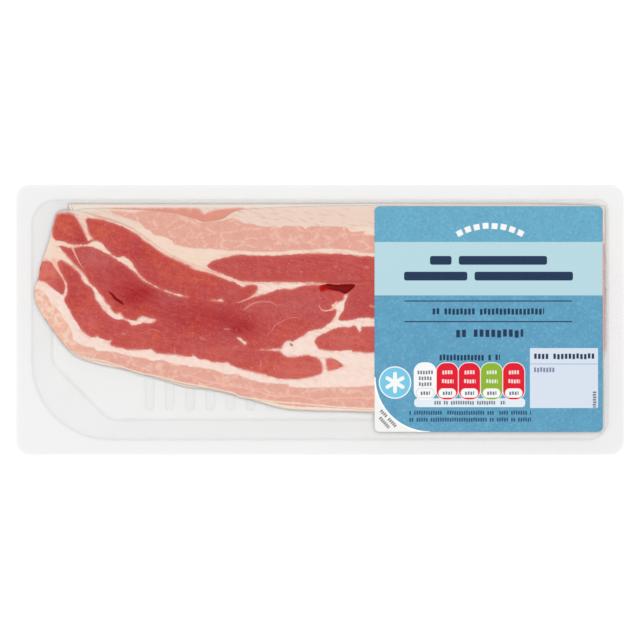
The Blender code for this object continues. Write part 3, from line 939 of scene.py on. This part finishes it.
    def _lean(
        self, bench: Bench, depth: Wire, cloud: Wire, coarse: Wire, fine: Wire, fibre: Wire
    ) -> Any:
        """Red lean that drifts from orange to crimson, with fine fibres and flecks."""
        warm = bench.stored("warm") - 0.12 + (cloud - 0.5) * 2.2 + (coarse - 0.5) * 1.6
        deep = bench.stored("deep") - 0.05 + (coarse - 0.5) * 1.4 + (fibre - 0.5) * 1.5
        colour = bench.mix(warm.clamp(), self.lean, self.warm_lean)
        colour = bench.mix((-warm).clamp(), colour, self.cool_lean)
        colour = bench.mix(deep.clamp(), colour, self.deep_lean)
        colour = bench.mix((-deep).clamp(), colour, self.pale_lean)
        grit = fine * 0.8 + fibre * 0.4 - 0.1
        calm = 1.0 - deep.clamp() * 0.6
        colour = bench.mix(coarse.ramp(0.5, 0.68) * calm * 0.3, colour, self.glow)
        colour = bench.mix(coarse.ramp(0.5, 0.34) * 0.35, colour, self.deep_lean)
        colour = bench.mix(grit.ramp(0.55, 0.74) * calm * 0.5, colour, self.fleck)
        colour = bench.mix(grit.ramp(0.44, 0.28) * 0.25, colour, self.pore)
        vein = abs(fibre - 0.5).ramp(0.012, 0.0) * coarse.ramp(0.5, 0.62) * calm
        colour = bench.mix(vein * 0.3, colour, self.fleck)
        return bench.mix(depth.ramp(1.5, 0.1) * 0.35, colour, self.pale_lean)


@dataclass(frozen=True)
class ClearFinish:
    """Clear plastic: nearly all see-through, with a little haze and gloss at a slant."""

    name: str
    tint: str
    haze: float
    gloss: float
    roughness: float
    rim_haze: float = 0.0
    rib_haze: float = 0.0
    rim_level: float = 13.0

    def make(self) -> bpy.types.Material:
        """Builds the material as a see-through shader under a thin shine."""
        bench = Bench(self.name)
        x, y, z = bench.place()
        spot = bench.vector(x, y, z)
        slant = bench.node("ShaderNodeLayerWeight", None, {"Blend": 0.5}, "Facing")
        drift = bench.noise(spot, 0.09, 2.0)
        haze = self.haze + z.ramp(self.rim_level, self.rim_level + 0.9) * self.rim_haze
        haze = haze + z.ramp(0.9, 1.3) * z.ramp(2.6, 1.5) * self.rib_haze
        share = haze * (0.6 + drift * 0.8) + slant**3.0 * self.gloss
        clear = bench.node("ShaderNodeBsdfTransparent", None, {"Color": self.tint})
        shine = bench.principled(
            {
                "Base Color": bench.mix(drift, "f2f3f2", "e9ecea"),
                "Roughness": self.roughness,
                "Specular IOR Level": 0.4,
                "Normal": bench.bump(bench.noise(spot, 0.12, 1.0), 0.05, 0.2),
            }
        )
        return bench.close(bench.node("ShaderNodeMixShader", None, (share.clamp(), clear, shine)))


class Print:
    """Masks for plain printed shapes on the label, in millimetres."""

    SOFT = 0.07

    def __init__(self, bench: Bench) -> None:
        """Reads the spot on the label."""
        self.bench = bench
        self.x, self.y, self.z = bench.place()

    def ink(self, distance: Wire) -> Wire:
        """1 inside a shape whose distance is negative inside."""
        return distance.ramp(self.SOFT, -self.SOFT)

    def box(self, left: float, right: float, low: float, high: float, radius: float = 0.0) -> Wire:
        """A rectangle with rounded corners."""
        across = abs(self.x - (left + right) / 2) - ((right - left) / 2 - radius)
        up = abs(self.y - (low + high) / 2) - ((high - low) / 2 - radius)
        if not radius:
            return self.ink(across.most(up))
        outside = (across.most(0.0) ** 2.0 + up.most(0.0) ** 2.0) ** 0.5
        return self.ink(outside + across.most(up).least(0.0) - radius)

    def away(self, x: float, y: float) -> Wire:
        """Distance from a point."""
        return ((self.x - x) ** 2.0 + (self.y - y) ** 2.0) ** 0.5

    def marks(
        self,
        left: float,
        right: float,
        low: float,
        high: float,
        pitch: float,
        spaces: Sequence[int] = (),
        turned: tuple[Wire, Wire] | None = None,
    ) -> Wire:
        """A row of small blocks that stands for a line of print without any lettering.

        Args:
            left: where the row starts.
            right: where it ends.
            low: its lower edge.
            high: its upper edge.
            pitch: from one block to the next.
            spaces: blocks left out, as between words; with none, chance leaves some out.
            turned: other axes to measure along.

        Returns:
            The mask.
        """
        x, y = turned or (self.x, self.y)
        count = (x - left) / pitch
        cell = count.floor()
        part = abs(count.fraction() - 0.5)
        luck = self.bench.chance(self.bench.vector(cell, low, 1.0))
        shown = part.ramp(0.40, 0.36 - 0.1)
        if spaces:
            for space in spaces:
                shown = shown * abs(cell - space).over(0.5)
        else:
            shown = shown * luck.over(0.14)
        middle, half = (low + high) / 2, (high - low) / 2
        rows = self.ink(abs(y - middle + (luck - 0.5) * half * 0.3) - half * 0.86)
        ends = self.ink(abs(x - (left + right) / 2) - (right - left) / 2)
        return shown * rows * ends


@dataclass(frozen=True)
class LabelFinish:
    """A generic printed label: blue fields, a pale band, tabs and rows of blocks, no words."""

    name: str = "printed_label"
    blue: str = "5593b3"
    top_blue: str = "60a0bb"
    pale: str = "b2d1d9"
    corner: str = "e8e8e5"
    navy: str = "16304f"
    white: str = "ecedec"
    red: str = "d90a28"
    green: str = "87ac2b"
    box: str = "cfd8e4"
    icon: str = "74c0dc"

    def make(self) -> bpy.types.Material:
        """Builds the print from the paper up."""
        bench = Bench(self.name)
        art = Print(bench)
        spot = bench.vector(art.x, art.y, art.z)
        grain = bench.noise(spot, 0.9, 4.0, 0.65)
        cloud = bench.noise(spot, 0.12, 2.0)
        colour = bench.mix(art.y.ramp(20.0, 36.0), self.blue, self.top_blue)
        colour = bench.mix((cloud - 0.3).clamp() * 0.5, colour, "6fb4d2")
        colour = bench.mix(grain.ramp(0.50, 0.72) * 0.45, colour, "86bdd6")
        colour = bench.mix(grain.ramp(0.47, 0.27) * 0.45, colour, "3f7fa6")
        colour = bench.mix(bench.noise(spot, 1.7, 2.0).ramp(0.73, 0.77) * 0.7, colour, "c5dfea")
        colour = bench.mix(art.box(20.0, 130.0, 10.8, 34.5) * 0.97, colour, self.pale)
        colour = self._panels(bench, art, colour)
        colour = self._rows(bench, art, colour)
        colour = self._corner(bench, art, colour)
        colour = self._badge(bench, art, colour)
        return bench.close(
            bench.principled(
                {
                    "Base Color": colour,
                    "Roughness": 0.55 + grain * 0.12,
                    "Specular IOR Level": 0.12,
                    "Normal": bench.bump(grain, 0.12, 0.1),
                }
            )
        )

    def _panels(self, bench: Bench, art: Print, colour: Any) -> Any:
        """The five tabs, the bar under them and the date box."""
        inks = (self.white, self.red, self.red, self.green, self.red)
        colour = bench.mix(art.box(41.8, 91.1, -38.8, -34.9, 1.6), colour, "dbe3ea")
        colour = bench.mix(art.marks(50.6, 82.4, -37.8, -35.9, 1.05) * 0.8, colour, self.navy)
        plain_rows = ((1.2, 8.3, -24.3), (1.8, 7.7, -27.0), (1.8, 7.7, -29.6))
        bright_rows = ((2.4, 7.2, -24.4), (2.2, 7.5, -28.3))
        for index, ink in enumerate(inks):
            left = 41.9 + 9.84 * index
            colour = bench.mix(art.box(left - 0.3, left + 9.8, -35.7, -18.9, 4.3), colour, self.white)
            colour = bench.mix(art.box(left, left + 9.5, -35.4, -19.2, 4.0), colour, ink)
            text, rows = (self.white, bright_rows) if index else (self.navy, plain_rows)
            for start, end, low in rows:
                row = art.marks(left + start, left + end, low, low + 1.9, 1.2, (99,))
                colour = bench.mix(row * 0.8, colour, text)
            ring = art.box(left + 0.7, left + 8.8, -34.8, -30.3, 2.2)
            colour = bench.mix(ring * (0.0 if index else 0.7), colour, "8d959c")
            colour = bench.mix(art.box(left + 0.9, left + 8.6, -34.6, -30.5, 2.0), colour, self.white)
            row = art.marks(left + 2.6, left + 6.9, -33.5, -31.7, 1.2)
            colour = bench.mix(row * 0.85, colour, self.navy)
        colour = bench.mix(art.box(93.2, 123.4, -39.2, -12.6, 0.5), colour, self.box)
        colour = bench.mix(art.box(93.2, 123.4, -19.8, -19.5), colour, "8fa6c4")
        colour = bench.mix(art.marks(94.8, 122.0, -17.6, -14.9, 1.7, (4,)), colour, self.navy)
        return bench.mix(art.marks(94.8, 104.4, -23.4, -21.0, 1.35) * 0.8, colour, "4a6283")

    def _rows(self, bench: Bench, art: Print, colour: Any) -> Any:
        """Rows of blocks where a pack carries its words."""
        bold = (
            art.box(48.8, 58.4, 24.4, 28.3, 1.0),
            art.box(61.6, 100.8, 24.4, 28.3, 1.0),
            art.box(37.3, 65.4, 17.4, 21.3, 1.0),
            art.box(68.6, 112.3, 17.4, 21.3, 1.0),
            art.marks(49.7, 99.5, 2.1, 5.2, 1.75),
            art.marks(60.0, 90.2, -8.0, -4.2, 2.6, (2,)),
            art.marks(52.8, 79.9, -18.2, -15.3, 1.55),
            art.box(37.5, 111.9, 8.05, 8.55),
            art.box(37.5, 111.9, -1.1, -0.6),
        )
        for mask in bold:
            colour = bench.mix(mask, colour, self.navy)
        for low, high in ((-42.3, -40.3), (-45.3, -43.3)):
            colour = bench.mix(art.marks(39.5, 93.7, low, high, 1.05) * 0.85, colour, self.navy)
        upright = art.marks(30.6, 39.0, 121.0, 122.8, 1.1, turned=(-art.y, art.x))
        colour = bench.mix(upright * 0.8, colour, self.navy)
        reach = art.away(75.5, 12.3)
        turn = bench.node("ShaderNodeMath", {"operation": "ARCTAN2"}, (art.x - 75.5, art.y - 12.3))
        arched = art.marks(-16.0, 16.0, 27.9, 30.9, 4.0, (99,), turned=(turn * 29.4, reach))
        return bench.mix(arched, colour, self.white)

    def _corner(self, bench: Bench, art: Print, colour: Any) -> Any:
        """The white peel corner outside a sweeping curve."""
        reach = art.away(48.7, -25.5)
        below = (art.x.ramp(48.71, 48.69)) * (art.y.ramp(-25.49, -25.51))
        colour = bench.mix(below * art.ink(24.5 - reach), colour, self.corner)
        colour = bench.mix(below * art.ink(abs(reach - 24.4) - 0.35), colour, "fdfdfc")
        slanted = (art.x * 0.68 - art.y * 0.73, art.x * 0.73 + art.y * 0.68)
        for left, right, low in ((47.6, 57.6, -8.5), (49.6, 56.0, -11.0)):
            row = art.marks(left, right, low, low + 1.7, 1.0, turned=slanted)
            colour = bench.mix(row * below * 0.8, colour, self.navy)
        return colour

    def _badge(self, bench: Bench, art: Print, colour: Any) -> Any:
        """A round badge with a six-armed snowflake."""
        x, y = 33.3, -27.9
        reach = art.away(x, y)
        colour = bench.mix(art.ink(reach - 7.2), colour, self.white)
        colour = bench.mix(art.ink(reach - 6.7), colour, self.icon)
        for index in range(3):
            turn = math.pi / 2 + index * math.pi / 3
            along = (art.x - x) * math.cos(turn) + (art.y - y) * math.sin(turn)
            aside = (art.y - y) * math.cos(turn) - (art.x - x) * math.sin(turn)
            past = (abs(along) - 3.9).most(0.0)
            arm = (past**2.0 + aside**2.0) ** 0.5 - 0.85
            colour = bench.mix(art.ink(arm), colour, self.white)
        return colour


# ------------------------------------------------------------------ the pack


class Pile(Enum):
    """The two piles of rashers."""

    FRONT = "front"
    REAR = "rear"


@dataclass(frozen=True)
class Grain:
    """How finely a rasher is meshed."""

    step: float
    rows: int


@dataclass
class Rashers:
    """Both piles of seven rashers, each cut from the same plan, lower ones a little warped."""

    chart: Chart
    finish: bpy.types.Material
    seam_shift: float = 2.0
    relief: float = 0.10
    lip: float = 0.75
    top_grain: dict[Pile, Grain] = field(
        default_factory=lambda: {Pile.FRONT: Grain(0.6, 100), Pile.REAR: Grain(0.6, 56)}
    )
    low_grain: dict[Pile, Grain] = field(
        default_factory=lambda: {Pile.FRONT: Grain(1.5, 34), Pile.REAR: Grain(1.5, 20)}
    )
    base_grain: dict[Pile, Grain] = field(
        default_factory=lambda: {Pile.FRONT: Grain(0.9, 62), Pile.REAR: Grain(0.9, 34)}
    )

    def build(self) -> None:
        """Makes the fourteen rashers from the floor up."""
        for pile in Pile:
            for layer in range(1, LAYERS + 1):
                self._rasher(pile, layer)

    def _grain(self, pile: Pile, layer: int) -> Grain:
        """The mesh grain of a rasher: finest on top, fine underneath, coarse between."""
        if layer == LAYERS:
            return self.top_grain[pile]
        return (self.base_grain if layer == 1 else self.low_grain)[pile]

    def _top_edges(self, pile: Pile) -> tuple[Array, Array]:
        """Front and rear edge chains of a top rasher."""
        if pile is Pile.FRONT:
            return smooth_chain(RIND_EDGE, steps=8), smooth_chain(LEAN_EDGE, steps=8)
        return smooth_chain(REAR_LEAN_EDGE, steps=8), smooth_chain(REAR_RIND_EDGE, steps=8)

    def _packed_edges(self, node: str) -> tuple[Array, Array]:
        """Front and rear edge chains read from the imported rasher's widest loop.

        Args:
            node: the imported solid's name.

        Returns:
            The two chains, each from left to right.
        """
        mesh = bpy.data.objects[node].data
        low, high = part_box(node)
        level = (low.z + high.z) / 2
        spots = {}
        links: dict[tuple[int, int], set[tuple[int, int]]] = {}
        for edge in mesh.edges:
            ends = [mesh.vertices[index].co for index in edge.vertices]
            if all(abs(end.z - level) < 0.1 * MM for end in ends):
                keys = [(round(end.x / MM * 100), round(end.y / MM * 100)) for end in ends]
                for key, end in zip(keys, ends):
                    spots[key] = (end.x / MM, end.y / MM)
                if keys[0] != keys[1]:
                    links.setdefault(keys[0], set()).add(keys[1])
                    links.setdefault(keys[1], set()).add(keys[0])
        start = min(spots)
        loop, here = [start], start
        while True:
            onward = sorted(links[here] - set(loop[-2:]) - {here})
            if not onward or onward[0] in loop[1:] or len(loop) > len(spots):
                break
            here = onward[0]
            loop.append(here)
        points = [spots[key] for key in loop]
        far = max(range(len(points)), key=lambda index: points[index][0])
        first, second = points[: far + 1], [points[0], *points[:far - 1:-1]]
        lowest = sorted((first, second), key=lambda chain: sum(p[1] for p in chain) / len(chain))
        return smooth_chain(lowest[0], steps=6), smooth_chain(lowest[1], steps=6)

    def _rasher(self, pile: Pile, layer: int) -> None:
        """Makes one rasher.

        Args:
            pile: which pile it lies in.
            layer: its place in the pile, 1 at the floor.
        """
        node = f"rasher_{pile.value}_{layer}"
        low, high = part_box(node)
        top = layer == LAYERS
        front_chain, rear_chain = self._top_edges(pile) if top else self._packed_edges(node)
        grain = self._grain(pile, layer)
        start = max(front_chain[0, 0], rear_chain[0, 0])
        end = min(front_chain[-1, 0], rear_chain[-1, 0])
        x = graded(start + 0.02, end, grain.step, 4.0, 1.0)
        front = height_along(front_chain, x)
        rear = height_along(rear_chain, x)
        if top and pile is Pile.FRONT:
            rear = rear + self.lip * ease(x, start, start + 12.0)
        slab = Slab(
            f"bacon_{pile.value}_{layer}",
            x,
            front,
            np.maximum(rear, front + 0.05),
            low.z / MM,
            high.z / MM,
            grain.rows,
        )
        if top:
            slab.rounding = (0.0, 0.02, 0.07, 0.16, 0.36)
            slab.top_shape = self._front_relief if pile is Pile.FRONT else self._rear_relief
            slab.bottom_shape = self._front_lap if pile is Pile.FRONT else None
        else:
            slab.top_shape = self._wave
        piece, xs, ys, away = slab.build()
        depth = LAYERS - layer
        shifted_x = xs + 1.6 * depth * math.sin(2.1 * layer)
        shifted_y = ys + self.seam_shift * depth + 0.8 * np.sin(0.07 * xs + 1.7 * layer) * (depth > 0)
        values = {
            name: self.chart.sample(name, shifted_x, shifted_y) for name in self.chart.layers
        }
        rim = front if pile is Pile.FRONT else rear
        from_rim = np.abs(ys - np.interp(xs, x, rim))
        band = 0.25 + 0.7 * ease(xs, -116.0, -100.0) if top and pile is Pile.FRONT else 0.25
        values["fringe"] = (band if top else 1.7) - from_rim
        if not top:
            values["opening"] = np.full_like(xs, -5.0)
        if top or pile is Pile.FRONT:
            values["ruddy"] = np.full_like(xs, -5.0)
        else:
            values["ruddy"] = self.chart.sample("ruddy", xs, ys)
        carry(piece, values)
        piece.data.materials.append(self.finish)
        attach(piece, BODY)
        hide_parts(node)
        LOG.info("%s: %d faces for %s", piece.name, len(piece.data.polygons), node)

    def _wave(self, x: Array, y: Array, away: Array) -> Array:
        """A gentle unevenness of a slice's face."""
        return 0.05 * np.sin(0.11 * x + 0.3 * y) * np.sin(0.17 * y - 0.05 * x)

    def _surface(self, x: Array, y: Array) -> Array:
        """Relief of a top face: fat a little proud, lean lower, seams and splits sunk."""
        lean = ease(self.chart.sample("lean", x, y), -0.5, 0.6)
        half = self.chart.sample("seam_half", x, y)
        seam = ease(half - np.abs(self.chart.sample("seam", x, y)), -0.4, 0.3)
        gap = ease(self.chart.sample("opening", x, y), -0.3, 0.7)
        ripple = np.sin(0.35 * x + 0.9 * y) * np.sin(0.5 * y - 0.22 * x) * 0.03
        return self.relief * (0.5 - lean) + 0.04 * seam - 0.9 * gap + ripple - 0.03

    def _front_relief(self, x: Array, y: Array, away: Array) -> Array:
        """Relief of the top front rasher."""
        return self._surface(x, y) + self._wave(x, y, away)

    def _front_lap(self, x: Array, y: Array, away: Array) -> Array:
        """Lifts the underside of the front rasher's rear lip clear of the rear one."""
        seam = height_along(smooth_chain(LEAN_EDGE, steps=8), x)
        return 0.85 * ease(y, seam - 1.6, seam - 0.4)

    def _rear_relief(self, x: Array, y: Array, away: Array) -> Array:
        """Relief of the top rear rasher, which dips under the front one's lip."""
        seam = height_along(smooth_chain(REAR_LEAN_EDGE, steps=8), x)
        return self._surface(x, y) + self._wave(x, y, away) - 0.7 * ease(y, seam + 1.2, seam + 0.5)


@dataclass
class Tray:
    """The clear tray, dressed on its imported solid."""

    finish: ClearFinish = ClearFinish("clear_plastic", "fbfbfb", 0.03, 0.18, 0.4, -0.025, 0.05)

    def build(self) -> None:
        """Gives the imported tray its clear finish."""
        node = bpy.data.objects["tray"]
        node.data.materials.clear()
        node.data.materials.append(self.finish.make())
        LOG.info("tray: %d faces, clear plastic", len(node.data.polygons))


@dataclass
class Lid:
    """The clear lid film, flat on the flange and slightly slack over the bacon."""

    finish: ClearFinish = ClearFinish("clear_film", "fefefe", 0.001, 0.12, 0.3)
    corner: float = 5.9
    step: float = 2.0
    rows: int = 64
    slack: float = 0.05

    def build(self) -> None:
        """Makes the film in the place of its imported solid."""
        low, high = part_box("lid_film")
        piece = rounded_sheet("lid_sheet", low, high, self.corner, self.step, self.rows, self._sag)
        piece.data.shade_flat()
        piece.data.materials.append(self.finish.make())
        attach(piece, BODY)
        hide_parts("lid_film")
        LOG.info("%s: %d faces", piece.name, len(piece.data.polygons))

    def _sag(self, x: Array, y: Array, away: Array) -> Array:
        """Slack of the film inside the flange."""
        inner = ease(away, 7.0, 16.0)
        wave = np.sin(0.09 * x + 0.05 * y) * np.sin(0.11 * y - 0.03 * x)
        return inner * (self.slack * wave - self.slack * 0.4)


@dataclass
class Label:
    """The printed label on the lid."""

    finish: LabelFinish = field(default_factory=LabelFinish)
    corner: float = 2.2
    inset_right: float = 0.5
    inset_rear: float = 0.4
    inset_front: float = 0.2
    step: float = 1.5
    rows: int = 70

    def build(self) -> None:
        """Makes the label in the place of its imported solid."""
        low, high = (corner.copy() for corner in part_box("label"))
        low.y += self.inset_front * MM
        high.x -= self.inset_right * MM
        high.y -= self.inset_rear * MM
        piece = rounded_sheet("label_sheet", low, high, self.corner, self.step, self.rows, None)
        piece.data.shade_flat()
        piece.data.materials.append(self.finish.make())
        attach(piece, BODY)
        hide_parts("label")
        LOG.info("%s: %d faces", piece.name, len(piece.data.polygons))


def rounded_sheet(
    name: str,
    low: Any,
    high: Any,
    radius: float,
    step: float,
    rows: int,
    shape: Callable[[Array, Array, Array], Array] | None,
) -> bpy.types.Object:
    """A thin sheet with rounded corners that fills a box in plan.

    Args:
        name: the object's name.
        low: the box's lowest corner in metres.
        high: its highest corner in metres.
        radius: corner radius.
        step: column spacing.
        rows: rows between the edges.
        shape: height added to both faces at x, y and distance from the edge.

    Returns:
        The object.
    """
    left, right = low.x / MM, high.x / MM
    x = graded(left + 0.002, right - 0.002, step, radius, radius)
    past = np.maximum(np.maximum(left + radius - x, x - right + radius), 0.0)
    inset = radius - np.sqrt(np.maximum(radius**2 - past**2, 0.0))
    slab = Slab(
        name,
        x,
        low.y / MM + inset,
        high.y / MM - inset,
        low.z / MM,
        high.z / MM,
        rows,
        (0.0, 0.02, 0.06, 0.1),
        shape,
        shape,
    )
    return slab.build()[0]


# ------------------------------------------------------------------ stage


@dataclass
class Studio:
    """A pale floor, soft lights all round and a camera that looks straight down."""

    floor_side: float = 6.0
    world_strength: float = 0.21
    lamp_power: float = 15.6
    lamp_size: float = 0.45
    lamp_distance: float = 0.16
    lamp_height: float = 2.8
    key_share: float = 1.5
    camera_height: float = 2.5
    view_width: float = 0.2842
    view_level: float = 0.014
    camera_y: float = -0.00013
    sensor: float = 36.0

    def build(self) -> None:
        """Sets the floor, the lights and the camera."""
        self._floor()
        self._lights()
        self._camera()

    def _floor(self) -> None:
        """A wide pale floor just under the tray."""
        half = self.floor_side / 2
        corners = np.array([[-half, -half], [half, -half], [half, half], [-half, half]])
        places = np.column_stack([corners, np.full(4, -0.0001)])
        floor = mesh_object("floor", places, np.array([[0, 1, 2, 3]]))
        bench = Bench("pale_floor")
        x, y, z = bench.place()
        cloud = bench.noise(bench.vector(x, y, z), 0.01, 2.0)
        shade = bench.mix(cloud, "fdfdfd", "fafafa")
        inputs = {"Base Color": shade, "Roughness": 0.7, "Specular IOR Level": 0.2}
        floor.data.materials.append(bench.close(bench.principled(inputs)))

    def _lights(self) -> None:
        """An even sky and four broad lamps, the rear left one stronger."""
        world = bpy.data.worlds.new("studio")
        bpy.context.scene.world = world
        world.use_nodes = True
        sky = world.node_tree.nodes["Background"]
        sky.inputs["Color"].default_value = (1.0, 1.0, 1.0, 1.0)
        sky.inputs["Strength"].default_value = self.world_strength
        for index in range(4):
            turn = math.pi / 4 + index * math.pi / 2
            lamp = bpy.data.lights.new(f"lamp_{index}", "AREA")
            lamp.size = self.lamp_size
            lamp.energy = self.lamp_power * (self.key_share if index == 1 else 1.0)
            made = bpy.data.objects.new(lamp.name, lamp)
            bpy.context.scene.collection.objects.link(made)
            away = self.lamp_distance
            made.location = (away * math.cos(turn), away * math.sin(turn), self.lamp_height)
            made.rotation_euler = (math.atan2(away, self.lamp_height), 0.0, turn + math.pi / 2)

    def _camera(self) -> None:
        """A long lens straight above, upright along y."""
        lens = bpy.data.cameras.new("camera")
        lens.sensor_width = self.sensor
        lens.lens = self.sensor * (self.camera_height - self.view_level) / self.view_width
        lens.clip_end = 20.0
        camera = bpy.data.objects.new("camera", lens)
        camera.location = (0.0, self.camera_y, self.camera_height)
        bpy.context.scene.collection.objects.link(camera)
        bpy.context.scene.camera = camera


def main() -> None:
    """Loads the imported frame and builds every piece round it."""
    logging.basicConfig(level=logging.INFO, format="%(name)s: %(message)s")
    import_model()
    bpy.context.scene.view_settings.view_transform = "Standard"
    bpy.context.scene.view_settings.look = "None"
    Studio().build()
    Tray().build()
    Rashers(plan_of_slice(), MeatFinish().make()).build()
    Lid().build()
    Label().build()
    bpy.context.view_layer.update()


if __name__ == "__main__":
    main()
